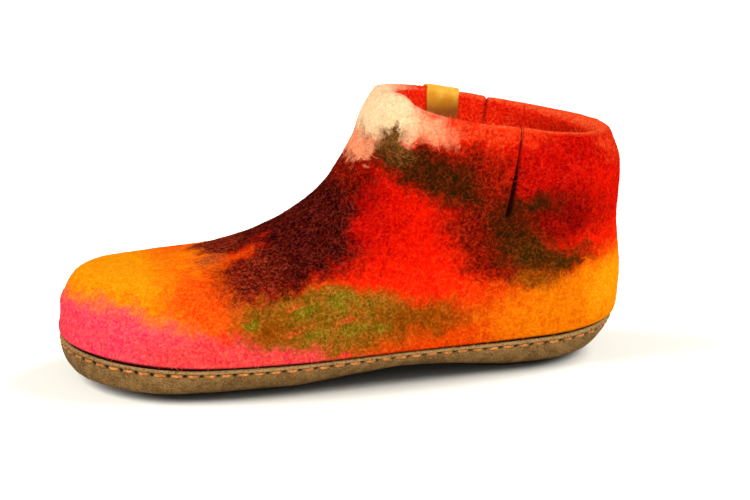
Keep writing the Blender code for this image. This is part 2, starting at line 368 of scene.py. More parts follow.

# %% [markdown]
# ## Lumps and creases
# Felt is never quite even: it has shallow lumps a few centimetres across, and soft folds where the foot
# bends and where the sole pulls the wool in. The folds are placed in the shoe's own sizes, as troughs along
# a short line.

# %% Soft relief
Crease = namedtuple("Crease", "x z long wide tilt deep")
CREASES = [
    Crease(112.0, 58.0, 20.0, 5.0, 62.0, 0.55),   # bend of the instep
    Crease(128.0, 66.0, 24.0, 6.0, 58.0, 0.45),   # second bend, higher
    Crease(232.0, 62.0, 26.0, 7.0, 4.0, 0.50),    # above the heel
    Crease(57.0, 53.0, 32.0, 8.0, 8.0, 0.90),     # over the vamp
    Crease(60.0, 30.0, 34.0, 6.0, -8.0, 0.40),    # along the toes
    Crease(176.0, 26.0, 40.0, 5.0, 3.0, 0.40),    # above the sole edge
    Crease(153.0, 112.0, 10.0, 4.0, 60.0, 0.40),  # roll of the collar
]
Lump = namedtuple("Lump", "size height seed")
LUMPS = [Lump(26.0, 0.55, 3.0), Lump(9.0, 0.20, 11.0), Lump(3.2, 0.07, 23.0)]
RELIEF_FADE = 0.6


def bell(at, middle, reach):
    """1 at the middle, falling off softly on both sides."""
    return np.exp(-((at - middle) / reach) ** 2)


def lumpy(points, lumps):
    """Height of lumps of several sizes."""
    return sum(lump.height * soft_noise(points, lump.size, lump.seed) for lump in lumps)


def relief(points, level):
    """Height of the felt's lumps and creases above the smooth last."""
    height = lumpy(points, LUMPS)
    for crease in CREASES:
        c, s = np.cos(np.radians(crease.tilt)), np.sin(np.radians(crease.tilt))
        dx, dz = points[..., 0] - crease.x, points[..., 2] - crease.z
        along, across = dx * c + dz * s, dz * c - dx * s
        fade = np.clip(1 - (along / crease.long) ** 2, 0, 1)
        height -= crease.deep * fade * bell(across, 0.0, crease.wide)
    return height * np.clip((level - PINCH) / RELIEF_FADE, 0, 1)


print(len(CREASES), "creases and", len(LUMPS), "sizes of lumps")

# %% [markdown]
# ## Rolled rim
# At the front and the back of the collar the felt is thicker and rolls over in a broad round rim. On the
# foot's outer side the rim drops from a crest at the front and sags a little beside the ankle. A bevel
# would be even all round, so the wall asks how much felt to add where.

# %% Felt wall
RIM_FROM, BULGE_FROM, BULGE_REACH = 9.6, 10.0, 1.15
RIM_IN, RIM_OUT, RIM_RISE = 4.4, 1.9, 0.5
SAG, SAG_X, SAG_REACH = 1.7, 172.0, 24.0
CREST, CREST_X, CREST_REACH = 6.0, 149.0, 4.5
OUTER_BLEND = 1.5


def rolled_rim(point, turn, level):
    """Felt added inward, outward and upward at the ends of the collar, and the drop of its outer side."""
    share = np.clip((level - RIM_FROM) / (COLLAR - RIM_FROM), 0, 1)
    share = share**2 * (3 - 2 * share)
    ends, front_end = np.abs(np.cos(turn)) ** 3, np.clip(np.cos(turn), 0, 1) ** 3
    bulge = np.sin(np.pi * np.clip((level - BULGE_FROM) / BULGE_REACH, 0, 1))
    x, outer = point[..., 0], np.clip(-OUTER_BLEND * np.sin(turn), 0, 1)
    sag = SAG * bell(x, SAG_X, SAG_REACH) - CREST * bell(x, CREST_X, CREST_REACH)
    added = RIM_IN * ends * share, RIM_OUT * front_end * bulge, RIM_RISE * ends, sag * outer * share
    return [amount[..., None] for amount in added]


def felt_wall(turn, start_gap, end_gap):
    """Points of one part of the wall, from cut to cut."""
    open_start, open_end = np.clip(start_gap / SHUT, 0, 1), np.clip(end_gap / SHUT, 0, 1)
    level = np.broadcast_to(row_level[:, None], turn.shape)
    angle = row_angle[:, None, None]
    point, outward, up = frame_at(turn, level)
    more_in, more_out, rise, sag = rolled_rim(point, turn, level)
    point = point + outward * more_out - up * sag
    columns = turn.shape[1]
    beside = np.concatenate([BESIDE, np.full(columns - 2 * len(BESIDE), WELL_AWAY), BESIDE[::-1]])
    first_half = np.arange(columns) < columns / 2
    is_open = np.where(first_half, open_start[:, None], open_end[:, None])
    short = np.clip(EDGE_ROUND - beside, 0, None)
    drop = (EDGE_ROUND - np.sqrt(EDGE_ROUND**2 - short**2)) * is_open
    drop = drop[..., None] * (1 - SHARPER_INSIDE * angle / np.pi)
    height = relief(point, level)[..., None]
    half_wall = (FELT + more_in + more_out) / 2
    rim = point - outward * half_wall
    rim = rim + outward * (half_wall - drop + height) * np.cos(angle)
    rim = rim + up * (FELT / 2 + rise - drop + height) * np.sin(angle)
    outside = point - outward * (outer_depth(level)[..., None] + drop - height)
    inside = point - outward * (inner_depth(level)[..., None] + more_in + more_out - drop + height)
    kind = np.repeat([0, 1, 2], [len(outer_levels), len(rim_angles), len(inner_levels)])[:, None, None]
    return np.where(kind == 0, outside, np.where(kind == 1, rim, inside))


front_points = felt_wall(front, outer_gap, inner_gap)
back_points = felt_wall(back, inner_gap, outer_gap)
print("felt wall of", front_points.shape[:2], "and", back_points.shape[:2], "points")

# %% [markdown]
# ## Closing the shell
# The two parts share their columns below the slits, and merging joins them there. Above, each of the four
# cut edges gets a cap from the outside to the inside of the wall, so the felt stays one closed body with a
# real thickness. Three numbers go with the points: how far inside they are, where loose fibres may grow,
# and where shade is painted on the felt, in the groove behind the leather and beside a cut.

# %% Felt upper
# Painted shade beside the cuts and above the leather's lip, and the rows where the nap grows:
BAND_DARK, DARKER_INSIDE = 0.4, 0.2
BAND_WIDE, WIDER_INSIDE = 1.3, 0.4
BLACK_GAP, LEAST_BLACK = 0.5, 0.5
NAP_FROM, NAP_FROM_INSIDE, NAP_SHADE = SWELL - 0.04, MATCHED + 1.0, 0.1
GROOVE_SHADE_REACH = 0.12


def cut_cap(column, gap, columns, first):
    """Faces across the wall on one side of a cut."""
    opened = np.nonzero(gap > 0)[0]
    rows = np.arange(opened[0] - 1, opened[-1] + 2)
    ids = first + rows * columns + column
    half = len(ids) // 2
    faces = [(ids[i], ids[i + 1], ids[-2 - i], ids[-1 - i]) for i in range(half - 1)]
    if len(ids) % 2:
        faces.append((ids[half - 1], ids[half], ids[half + 1]))
    return faces


rows = len(row_level)
wide_front, wide_back = front.shape[1], back.shape[1]
split = rows * wide_front
faces = strip_faces(rows, wide_front, 0, close_rows=True)
faces += strip_faces(rows, wide_back, split, close_rows=True)
faces += cut_cap(0, outer_gap, wide_front, 0)
faces += cut_cap(wide_front - 1, inner_gap, wide_front, 0)
faces += cut_cap(0, inner_gap, wide_back, split)
faces += cut_cap(wide_back - 1, outer_gap, wide_back, split)


def cut_shade(columns, start_gap, end_gap):
    """Painted shade beside a cut: black in the open gap, a soft dark band where it is shut."""
    shade = np.zeros((rows, columns))
    inward = (row_angle / np.pi)[:, None]
    fade = np.clip(1 - BESIDE / (BAND_WIDE + WIDER_INSIDE * inward), 0, 1)
    band = (BAND_DARK + DARKER_INSIDE * inward) * fade
    here = np.arange(len(BESIDE))
    for gap, near in [(start_gap, here), (end_gap, columns - 1 - here)]:
        shade[:, near] = band * np.clip(gap / SHUT, 0, 1)[:, None]
        shade[:, near[0]] = np.clip(gap / BLACK_GAP, LEAST_BLACK, 1) * (gap > 0)
    return shade.ravel()


# Painted shade in the groove where the felt dives behind the leather's lip.
row_values = {
    "inside": row_angle / np.pi,
    "nap": np.where(row_angle < np.pi, row_level > NAP_FROM, row_level > NAP_FROM_INSIDE),
    "tuck": np.clip((SWELL - row_level) / GROOVE_SHADE_REACH, 0, 1) * (row_angle < np.pi),
}
shell_values = {
    key: np.concatenate([np.repeat(numbers, wide_front), np.repeat(numbers, wide_back)])
    for key, numbers in row_values.items()
}
cut_shading = np.concatenate([
    cut_shade(wide_front, outer_gap, inner_gap), cut_shade(wide_back, inner_gap, outer_gap)
])
# Painted shade beside the cuts joins the painted shade in the groove.
shell_values["tuck"] = np.maximum(shell_values["tuck"], cut_shading)
shell_values["nap"] = shell_values["nap"] * (cut_shading < NAP_SHADE)
shell_points = np.concatenate([front_points.reshape(-1, 3), back_points.reshape(-1, 3)])
felt_shell = add_piece("felt_shell", shell_points, faces, shell_values)
print("felt shell", triangles(felt_shell), "triangles")

# %% [markdown]
# ## Node sums in Python
# A felt dye is a long sum of masks, and as bare nodes it would be unreadable. `Wire` wraps a socket so that
# plain arithmetic adds Math nodes. `Nodes` makes any other node from its type, its settings and its
# sockets, in a material or in Geometry Nodes alike.

# %% Node helpers


class Wire:
    """An output socket that can be used in sums."""

    def __init__(self, nodes, socket):
        self.nodes, self.socket = nodes, socket

    def sum(self, operation, *values):
        return self.nodes.node("ShaderNodeMath", {"operation": operation}, dict(enumerate(values)))

    def __add__(self, other):
        return self.sum("ADD", self, other)

    def __radd__(self, other):
        return self.sum("ADD", other, self)

    def __sub__(self, other):
        return self.sum("SUBTRACT", self, other)

    def __rsub__(self, other):
        return self.sum("SUBTRACT", other, self)

    def __mul__(self, other):
        return self.sum("MULTIPLY", self, other)

    def __rmul__(self, other):
        return self.sum("MULTIPLY", other, self)

    def __abs__(self):
        return self.sum("ABSOLUTE", self)

    def most(self, other):
        return self.sum("MAXIMUM", self, other)

    def step(self, start, end):
        """0 before start and 1 after end, with a soft rise between, also when end is lower."""
        sockets = {"Value": self, "From Min": start, "From Max": end}
        return self.nodes.node("ShaderNodeMapRange", {"interpolation_type": "SMOOTHSTEP"}, sockets)


class Nodes:
    """A node tree that is filled by code."""

    def put(self, socket, value):
        if isinstance(value, Wire):
            self.tree.links.new(value.socket, socket)
        else:
            socket.default_value = value

    def node(self, kind, settings, sockets, out=0):
        made = self.tree.nodes.new(kind)
        for key, value in settings.items():
            setattr(made, key, value)
        for key, value in sockets.items():
            self.put(made.inputs[key], value)
        return Wire(self, made.outputs[out])

    def axis(self, vector, i):
        """The x, y or z of a vector, counted from 0."""
        return self.node("ShaderNodeSeparateXYZ", {}, {0: vector}, i)


class Finish(Nodes):
    """One material."""

    def __init__(self, name, **constants):
        self.material = bpy.data.materials.new(name)
        self.material.use_nodes = True
        self.tree = self.material.node_tree
        self.shader = self.tree.nodes["Principled BSDF"]
        for key, value in constants.items():
            self.shader.inputs[key.replace("_", " ")].default_value = value

    def vector(self, operation, *values, out=0):
        return self.node("ShaderNodeVectorMath", {"operation": operation}, dict(enumerate(values)), out)

    def mix(self, share, first, second):
        return self.node("ShaderNodeMix", {"data_type": "RGBA"}, {0: share, 6: first, 7: second}, 2)

    def noise(self, place, size, detail=2.0, rough=0.5, out=0):
        sockets = {"Vector": place, "Scale": 1.0 / size, "Detail": detail, "Roughness": rough}
        return self.node("ShaderNodeTexNoise", {}, sockets, out)

    def number(self, name):
        return self.node("ShaderNodeAttribute", {"attribute_name": name}, {}, 2)

    def in_table(self, vector):
        """A place in the frame as millimetres in the last's table."""
        return self.vector("MULTIPLY_ADD", vector, (1 / MM,) * 3, tuple(CENTRE))

    def place(self):
        """Object coordinates as millimetres in the last's table."""
        return self.in_table(self.node("ShaderNodeTexCoord", {}, {}, 3))

    def finish(self, height, depth_mm, **inputs):
        sockets = {"Strength": 1.0, "Distance": depth_mm * MM, "Height": height}
        bump = self.node("ShaderNodeBump", {}, sockets)
        for key, value in {**inputs, "Normal": bump}.items():
            self.put(self.shader.inputs[key.replace("_", " ")], value)
        return self.material


def dye(red, green, blue):
    """A colour as seen on a screen, 0 to 255, as the linear colour that a shader wants."""
    c = np.array([red, green, blue]) / 255
    return (*np.where(c > 0.04045, ((c + 0.055) / 1.055) ** 2.4, c / 12.92), 1.0)


print("red dye as a linear colour", np.round(dye(235, 20, 2), 3))

# %% [markdown]
# ## The dyes
# Before felting, tufts of dyed wool are laid out by hand, so the colours lie in soft patches that run into
# each other. The patches are listed here in the side view of the shoe: centre, half length, half height,
# tilt in degrees, softness of the border, and the side of the foot. Rows marked TOP are read from above
# instead, so their z is a y. Each dye has three tones: the mass of the wool, the curly fibres on top and
# the deep tone, which is partly the wool's darker mottle and partly painted shade in the hollows. Later
# rows lie over earlier ones.

# %% Patches of dyed wool
Dye = namedtuple("Dye", "mass fibre deep")
TANGERINE = Dye((252, 130, 4), (254, 156, 20), (246, 98, 3))
SAFFRON = Dye((250, 150, 6), (254, 178, 28), (244, 128, 2))
AMBER = Dye((230, 114, 4), (246, 142, 14), (212, 88, 0))
VERMILION = Dye((252, 82, 9), (255, 112, 26), (232, 50, 2))
EMBER = Dye((224, 64, 4), (244, 96, 18), (190, 38, 0))
PINK = Dye((248, 66, 88), (255, 110, 100), (232, 28, 76))
ROSE = Dye((242, 64, 66), (255, 104, 82), (212, 36, 50))
SIGNAL = Dye((246, 30, 3), (255, 62, 20), (216, 12, 0))
SCARLET = Dye((226, 17, 2), (242, 42, 12), (190, 5, 0))
CRIMSON = Dye((190, 8, 3), (224, 34, 18), (142, 0, 0))
WINE = Dye((122, 6, 3), (170, 28, 12), (72, 2, 1))
MAROON = Dye((120, 13, 3), (190, 44, 16), (60, 6, 1))
MULBERRY = Dye((106, 20, 8), (186, 70, 40), (46, 6, 3))
BURGUNDY = Dye((68, 7, 4), (130, 42, 30), (16, 1, 1))
OLIVE = Dye((144, 80, 11), (198, 123, 42), (72, 72, 4))
MOSS = Dye((118, 98, 12), (176, 140, 44), (78, 80, 6))
OCHRE = Dye((138, 67, 5), (188, 93, 21), (106, 48, 0))
PEAT = Dye((60, 20, 3), (120, 42, 12), (24, 22, 3))
LODEN = Dye((67, 30, 4), (126, 62, 17), (38, 28, 2))
UMBER = Dye((100, 58, 18), (162, 104, 54), (54, 42, 8))
RUST = Dye((190, 74, 22), (226, 118, 56), (150, 46, 8))
CREAM = Dye((250, 212, 160), (254, 232, 194), (244, 190, 136))
PEACH = Dye((250, 148, 104), (254, 180, 136), (236, 124, 78))
CORAL = Dye((228, 51, 17), (248, 90, 44), (190, 18, 5))
# A lighter coral, the painted highlight on the top of the rim toward the heel:
RIM_HIGHLIGHT = Dye((254, 84, 38), (255, 122, 72), (236, 50, 16))
LINING = Dye((244, 34, 7), (252, 84, 40), (216, 10, 2))

NEAR, FAR, BOTH, TOP = "near far both top".split()
Patch = namedtuple("Patch", "dye x z long high tilt soft side")
PATCHES = [
    Patch(SCARLET, 152, 74, 34, 22, 0, 0.60, BOTH),     # above the instep
    Patch(TANGERINE, 28, 47, 48, 20, 0, 0.30, BOTH),    # toe
    Patch(SAFFRON, 24, 50, 28, 6, 0, 0.70, BOTH),       # toe top
    Patch(VERMILION, 62, 42, 18, 11, 0, 0.60, BOTH),    # behind the toes
    Patch(PINK, 15, 15, 60, 24, -4, 0.22, BOTH),        # round the toe, above the sole
    Patch(ROSE, 78, 19, 46, 10, -5, 0.45, BOTH),        # where pink runs out
    Patch(OLIVE, 115, 34, 43, 14, -4, 0.28, NEAR),      # side
    Patch(OLIVE, 141, 25, 34, 9, 0, 0.45, NEAR),        # side, low
    Patch(OCHRE, 162, 28, 28, 9, 0, 0.50, NEAR),        # side, toward the heel
    Patch(OCHRE, 87, 32, 12, 6, 0, 0.80, NEAR),         # side, toward the toe
    Patch(MOSS, 105, 38, 5, 2.0, 12, 0.90, NEAR),       # green tufts in the olive
    Patch(MOSS, 120, 40, 6, 2.2, 16, 0.90, NEAR),
    Patch(MOSS, 109, 27, 5, 1.8, 0, 0.90, NEAR),
    Patch(MOSS, 126, 28, 5, 1.8, -12, 0.90, NEAR),
    Patch(MOSS, 138, 27, 4, 1.8, 0, 0.90, NEAR),
    Patch(MOSS, 78, 35, 4, 1.6, 0, 0.90, NEAR),
    Patch(RUST, 98, 31, 4, 1.1, 20, 0.95, NEAR),        # red tufts in the olive
    Patch(RUST, 101, 40, 5, 1.0, 10, 0.95, NEAR),
    Patch(RUST, 122, 33, 5, 1.0, 10, 0.95, NEAR),
    Patch(EMBER, 188, 18, 48, 6, 0, 0.60, BOTH),        # low side
    Patch(CRIMSON, 136, 76, 15, 18, 0, 0.80, BOTH),     # edge of the instep
    Patch(WINE, 132, 86, 20, 8, 58, 0.70, BOTH),
    Patch(MAROON, 128, 88, 14, 7, 58, 0.60, BOTH),      # instep, upper end
    Patch(MAROON, 88, 51, 20, 8, 12, 0.60, NEAR),       # instep, lower end
    Patch(BURGUNDY, 100, 58, 13, 6, 24, 0.50, NEAR),
    Patch(BURGUNDY, 110, 64, 24, 12, 33, 0.30, BOTH),   # instep
    Patch(BURGUNDY, 118, 74, 18, 10, 50, 0.40, BOTH),
    Patch(BURGUNDY, 117, 61, 15, 10, 0, 0.45, NEAR),
    Patch(BURGUNDY, 82, 6, 14, 18, 0, 0.30, TOP),
    Patch(MULBERRY, 76, 7, 12, 17, 0, 0.30, TOP),       # strip over the vamp
    Patch(MULBERRY, 85, 50, 13, 5, 20, 0.90, NEAR),
    Patch(RUST, 67, -12, 6, 5, 0, 0.80, TOP),
    Patch(EMBER, 80, -16, 8, 2.6, 16, 0.70, TOP),       # orange wedge
    Patch(EMBER, 200, 34, 22, 10, 0, 0.90, BOTH),       # where red runs into the heel
    Patch(AMBER, 236, 28, 44, 20, 7, 0.40, BOTH),       # heel
    Patch(SAFFRON, 258, 33, 16, 16, 0, 0.60, BOTH),     # heel back
    Patch(CRIMSON, 230, 88, 34, 28, 0, 0.35, BOTH),     # heel top
    Patch(SCARLET, 248, 80, 12, 12, 0, 0.90, BOTH),
    Patch(WINE, 222, 72, 22, 12, 0, 0.90, NEAR),
    Patch(MAROON, 179, 96, 24, 14, -10, 0.60, NEAR),    # below the ankle
    Patch(MAROON, 188, 70, 18, 22, 20, 0.45, NEAR),
    Patch(MAROON, 190, 51, 11, 5, 0, 0.90, NEAR),
    Patch(MAROON, 201, 45, 10, 5, 0, 0.90, NEAR),
    Patch(MAROON, 158, 91, 12, 5, -20, 0.80, NEAR),
    Patch(PEAT, 160, 98, 20, 8, -14, 0.45, NEAR),       # dark band from the collar
    Patch(PEAT, 174, 88, 14, 9, -34, 0.70, NEAR),
    Patch(PEAT, 197, 71, 7, 12, -10, 0.80, NEAR),       # on both sides of the slit's foot
    Patch(PEAT, 213, 76.5, 11, 5, 0, 0.80, NEAR),
    Patch(WINE, 216, 70, 6, 4, 0, 0.80, NEAR),
    Patch(PEAT, 204, 62, 11, 10, 0, 0.70, NEAR),        # behind the ankle
    Patch(LODEN, 214, 54, 15, 8, 0, 0.60, NEAR),
    Patch(LODEN, 227, 51, 16, 5, 8, 0.70, NEAR),
    Patch(OCHRE, 213, 43, 11, 4, 0, 0.80, NEAR),
    Patch(CORAL, 186, 113, 28, 3.6, -8, 0.60, BOTH),    # collar edge
    Patch(CORAL, 251.5, 101, 9, 4, -43, 0.80, BOTH),
    Patch(PEACH, 160, 116, 14, 6.5, -12, 0.60, BOTH),
    Patch(PEACH, 164, 121, 9, 6, -8, 0.50, FAR),
    Patch(PEACH, 137.5, 103.5, 10, 4.8, 50, 0.35, BOTH),
    Patch(CREAM, 146, 119, 13, 11.5, 0, 0.45, BOTH),
    Patch(UMBER, 150, 106, 6.5, 6, -15, 0.75, NEAR),    # tuft that climbs into the cream
    Patch(UMBER, 149.8, 112, 2.2, 4.2, 0, 0.50, NEAR),
    Patch(OLIVE, 96, 37, 38, 13, 4, 0.40, FAR),         # inner side of the foot
    Patch(PEAT, 132, 58, 24, 13, 30, 0.40, FAR),
    Patch(MAROON, 176, 84, 26, 14, -20, 0.45, FAR),
    Patch(OLIVE, 214, 52, 22, 11, -8, 0.45, FAR),
]
SUNK = 0.765  # share of each dye that is left when the lamps add to the sky
print(len(PATCHES), "patches of", len(set(p.dye for p in PATCHES)), "dyes")

# %% [markdown]
# ## Felt
# Felt is matted wool: patch borders are ragged because tufts slid over each other, and curly fibres lie on
# top. Noise pushes the places about before the patches are asked for, which tears their borders. Thin lines
# where a noise passes its middle value make the curls, and the same lines lift the surface a little.

# %% Felt finish
FAR_FROM, FAR_FULL = 8.0, 24.0                     # y where the far side's patches take over
THROUGH = 1e4                                      # a patch reaches right through the shoe
RIM_HIGHLIGHT_FROM, RIM_HIGHLIGHT_FULL, RIM_HIGHLIGHT_SHARE = 172.0, 195.0, 0.8  # x where the rim's top gets a painted highlight
LINING_FROM, LATER_IN_FRONT = 0.70, 0.2            # share of the rim's roll where the lining begins
FRONT_TO, FRONT_FULL = 190.0, 165.0


def tone(colour):
    return tuple(SUNK * c for c in dye(*colour)[:3]) + (1.0,)


def torn(finish, place, steps):
    """Places pushed about by noise of several sizes, in millimetres."""
    for size, push in steps:
        wave = finish.noise(place, size, 1.0, out=1)
        wave = finish.vector("SUBTRACT", wave, (0.5, 0.5, 0.5))
        place = finish.vector("MULTIPLY_ADD", wave, (push,) * 3, place)
    return place


def wool_colours(finish, place, parts):
    """Colours of the wool at a place, one for each tone that is asked for."""
    far = finish.axis(place, 1).step(FAR_FROM, FAR_FULL)
    sides = {NEAR: 1 - far, FAR: far}
    ragged = finish.noise(place, 3.6, 4.0, 0.7) - 0.5
    colours = [tone(getattr(SIGNAL, part)) for part in parts]
    for patch in PATCHES:
        top, tilt = patch.side == TOP, np.radians(patch.tilt)
        sockets = {
            "Vector": place,
            "Location": (patch.x, patch.z, 0) if top else (patch.x, 0, patch.z),
            "Rotation": (0, 0, tilt) if top else (0, -tilt, 0),
            "Scale": (patch.long, patch.high, THROUGH) if top else (patch.long, THROUGH, patch.high),
        }
        local = finish.node("ShaderNodeMapping", {"vector_type": "TEXTURE"}, sockets)
        reach = finish.vector("LENGTH", local, out=1) + ragged * (2.0 * patch.soft)
        mask = reach.step(1 + patch.soft, 1 - patch.soft)
        if patch.side in sides:
            mask = mask * sides[patch.side]
        colours = [finish.mix(mask, c, tone(getattr(patch.dye, part))) for c, part in zip(colours, parts)]
    return colours


def upper_colours(finish, place, *parts):
    """Colours of the whole upper: the wool, a painted highlight on the top of its rim and the lining."""
    x = finish.axis(place, 0)
    roll = finish.number("inside")
    # Painted highlight: the top of the rim's roll is lighter toward the heel.
    rim = roll.step(0.05, 0.35) * x.step(RIM_HIGHLIGHT_FROM, RIM_HIGHLIGHT_FULL) * RIM_HIGHLIGHT_SHARE
    lining = roll.step(LINING_FROM + LATER_IN_FRONT * x.step(FRONT_TO, FRONT_FULL), 1.0)
    colours = []
    for part, colour in zip(parts, wool_colours(finish, place, parts)):
        colour = finish.mix(rim, colour, tone(getattr(RIM_HIGHLIGHT, part)))
        colours.append(finish.mix(lining, colour, dye(*getattr(LINING, part))))
    return colours


def curls(finish, place, size, thin):
    """Thin curly lines, as loose fibres draw them."""
    line = abs(finish.noise(torn(finish, place, [(size * 1.6, size * 1.5)]), size, 0.0) - 0.5)
    return line.step(thin, 0.0)


TEARS = [(24.0, 7.0), (8.0, 10.0), (2.6, 5.5), (0.9, 2.4)]
# Tone of the painted shade in the groove behind the leather and beside the cuts.
PAINTED_SHADE_TONE = (44, 14, 5)
LINE_SHIFT, TUFT_SHIFT = (40, 70, 90), (15, 35, 55)  # so that no two noises lie alike


def felt():
    f = Finish("wool_felt", Roughness=0.95, Specular_IOR_Level=0.0)
    place = f.place()
    mass, fibre, deep = upper_colours(f, torn(f, place, TEARS), "mass", "fibre", "deep")
    lines = curls(f, place, 2.6, 0.035).most(curls(f, f.vector("ADD", place, LINE_SHIFT), 3.6, 0.03))
    clumps = f.noise(place, 1.3, 2.0)
    tufts = f.noise(f.vector("ADD", place, TUFT_SHIFT), 3.6, 2.0)
    # The deep tone goes where the bump is low: partly the wool's own mottle, partly painted shade in the
    # hollows.
    colour = f.mix(clumps.step(0.56, 0.32) * 0.6 + tufts.step(0.56, 0.34) * 0.5, mass, deep)
    colour = f.mix(lines * 0.45 + clumps.step(0.51, 0.70) * 0.5, colour, fibre)
    # Painted shade in the groove behind the leather and beside the cuts.
    colour = f.mix(f.number("tuck") * 0.95, colour, tone(PAINTED_SHADE_TONE))
    height = lines * 0.4 + f.noise(place, 0.7, 3.0) * 0.8 + clumps * 0.6 + tufts * 0.8
    return f.finish(height, 0.36, Base_Color=colour)


WOOL_FELT = felt()
felt_shell.data.materials.append(WOOL_FELT)
print("felt finish has", len(WOOL_FELT.node_tree.nodes), "nodes")

# %% [markdown]
# ## Place the shell
# The shell stands for the plain felt solid and moves with the only body.

# %% Place the felt


def place_piece(piece, slot, *nodes):
    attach(piece, "root")
    if nodes:
        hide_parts(*nodes)


place_piece(felt_shell, "wool_felt", "felt_upper")
print("felt shell rides on root")

# %% [markdown]
# ## Recipes that repeat
# Loose fibres and stitches repeat hundreds of times, which is work for Geometry Nodes. A `Recipe` is a tree
# with named inputs. It is run once on a base object, its result is kept as a plain mesh, and the modifier
# goes away again.

# %% Geometry Nodes helper


class Recipe(Nodes):
    """A Geometry Nodes tree with named inputs."""

    def __init__(self, name, **kinds):
        self.tree = bpy.data.node_groups.new(name, "GeometryNodeTree")
        face = self.tree.interface
        face.new_socket("Geometry", in_out="INPUT", socket_type="NodeSocketGeometry")
        face.new_socket("Geometry", in_out="OUTPUT", socket_type="NodeSocketGeometry")
        for key, kind in kinds.items():
            face.new_socket(key, in_out="INPUT", socket_type="NodeSocket" + kind)
        self.start = self.tree.nodes.new("NodeGroupInput")
        self.end = self.tree.nodes.new("NodeGroupOutput")

    def given(self, key):
        return Wire(self, self.start.outputs[key])

    def both(self, wire, name):
        """Another output of the same node."""
        return Wire(self, wire.socket.node.outputs[name])

    def chance(self, low, high, seed, kind="FLOAT"):
        """Random number, the same on every run."""
        first, out = {"FLOAT": (2, 1), "INT": (4, 2)}[kind]
        sockets = {first: low, first + 1: high, 8: seed}
        return self.node("FunctionNodeRandomValue", {"data_type": kind}, sockets, out)

    def keep(self, geometry, name, value, kind):
        settings = {"data_type": kind, "domain": "POINT"}
        return self.node("GeometryNodeStoreNamedAttribute", settings, {0: geometry, 2: name, 3: value})

    def serve(self, instances):
        """Ends the tree: real meshes with their material."""
        real = self.node("GeometryNodeRealizeInstances", {}, {0: instances})
        done = self.node("GeometryNodeSetMaterial", {}, {0: real, "Material": self.given("material")})
        self.put(self.end.inputs[0], done)

    def run(self, base, name, **values):
        modifier = base.modifiers.new(name, "NODES")
        modifier.node_group = self.tree
        for item in self.tree.interface.items_tree:
            if item.in_out == "INPUT" and item.name in values:
                modifier[item.identifier] = values[item.name]
        graph = bpy.context.evaluated_depsgraph_get()
        ready = base.evaluated_get(graph)
        mesh = bpy.data.meshes.new_from_object(ready, preserve_all_data_layers=True, depsgraph=graph)
        base.modifiers.remove(modifier)
        mesh.name = name
        return new_object(name, mesh)


def shape_set(name, shapes, smooth=False):
    """A hidden collection of small meshes to choose from, sizes in millimetres."""
    group = bpy.data.collections.new(name)
    for i, (points, faces) in enumerate(shapes):
        mesh = bpy.data.meshes.new(f"{name}_{i:02d}")
        mesh.from_pydata((np.asarray(points) * MM).tolist(), [], faces)
        turn_outward(mesh)
        if smooth:
            mesh.shade_smooth()
        else:
            mesh.shade_flat()
        group.objects.link(bpy.data.objects.new(mesh.name, mesh))
    return group


def drop_set(group):
    for thing in list(group.objects):
        bpy.data.objects.remove(thing)
    bpy.data.collections.remove(group)


print("recipes end in Realize Instances and Set Material")

# %% [markdown]
# ## Loose fibres
# On the real felt thin curly fibres lie on the surface, and a light fuzz stands off it. A hair system would
# be lost in the export, so each fibre is a closed sliver of two dozen faces. A few curls are drawn once
# with a fixed seed, then scattered over the felt, turned about at random and coloured by the wool where
# they are rooted.

# %% Shapes of fibres
DRAW_SEED = 11
draw = np.random.default_rng(DRAW_SEED)
FIBRE_POINTS = 9
FIBRE_THICK, FIBRE_FLAT, HAIR_THIN = 0.085, 0.4, 0.4
CURL_LENGTHS, CURL_SHARES = [4.0, 6.0, 8.5, 12.0], [0.3, 0.3, 0.25, 0.15]
FELT_BEND, HAIR_ROOT = 50.0, 0.2
SKEW = [0.13, 0.21, 1.0]  # a direction that no fibre follows
CURLS, HAIRS = 24, 8


def sliver(path, thick, flat=1.0):
    """Closed three-sided sliver along a path, pointed at both ends and flat on the felt if wanted."""
    ahead = unit(np.gradient(path, axis=0))
    side = unit(np.cross(ahead, SKEW))
    over = np.cross(side, ahead)
    points, faces = [path[0]], []
    for i in range(1, len(path) - 1):
        for angle in np.radians([90, 210, 330]):
            points.append(path[i] + thick * (np.cos(angle) * side[i] + flat * np.sin(angle) * over[i]))
    points.append(path[-1])
    last = len(points) - 1
    for k in range(3):
        n = (k + 1) % 3
        faces.append((0, 1 + n, 1 + k))
        faces.append((last, last - 3 + k, last - 3 + n))
        for ring in range(len(path) - 3):
            a, b = 1 + 3 * ring, 4 + 3 * ring
            faces.append((a + k, a + n, b + n, b + k))
    return np.array(points), faces


def curl_path():
    """A fibre that curls about on the felt and bends down over it."""
    step = draw.choice(CURL_LENGTHS, p=CURL_SHARES) / (FIBRE_POINTS - 1)
    along = np.arange(FIBRE_POINTS)
    drift, sway = draw.normal(0, 0.16), draw.uniform(0.3, 1.1)
    heading = drift * along + sway * np.sin(draw.uniform(0.5, 1.1) * along + draw.uniform(0, 6))
    path = np.cumsum(np.stack([np.cos(heading), np.sin(heading)], -1) * step, axis=0)
    path = path - path.mean(axis=0)
    lift = draw.uniform(0.04, 0.10) - np.sum(path**2, axis=1) / (2 * FELT_BEND)
    return np.column_stack([path, lift])


def hair_path():
    """A short hair that stands off the felt and leans over."""
    t = np.linspace(0, 1, FIBRE_POINTS - 1)
    lean, sway, tall = draw.uniform(0.4, 1.6), draw.uniform(-0.5, 0.5), draw.uniform(0.8, 1.9)
    return np.column_stack([lean * t**1.6, sway * np.sin(3 * t), -HAIR_ROOT + (tall + HAIR_ROOT) * t])


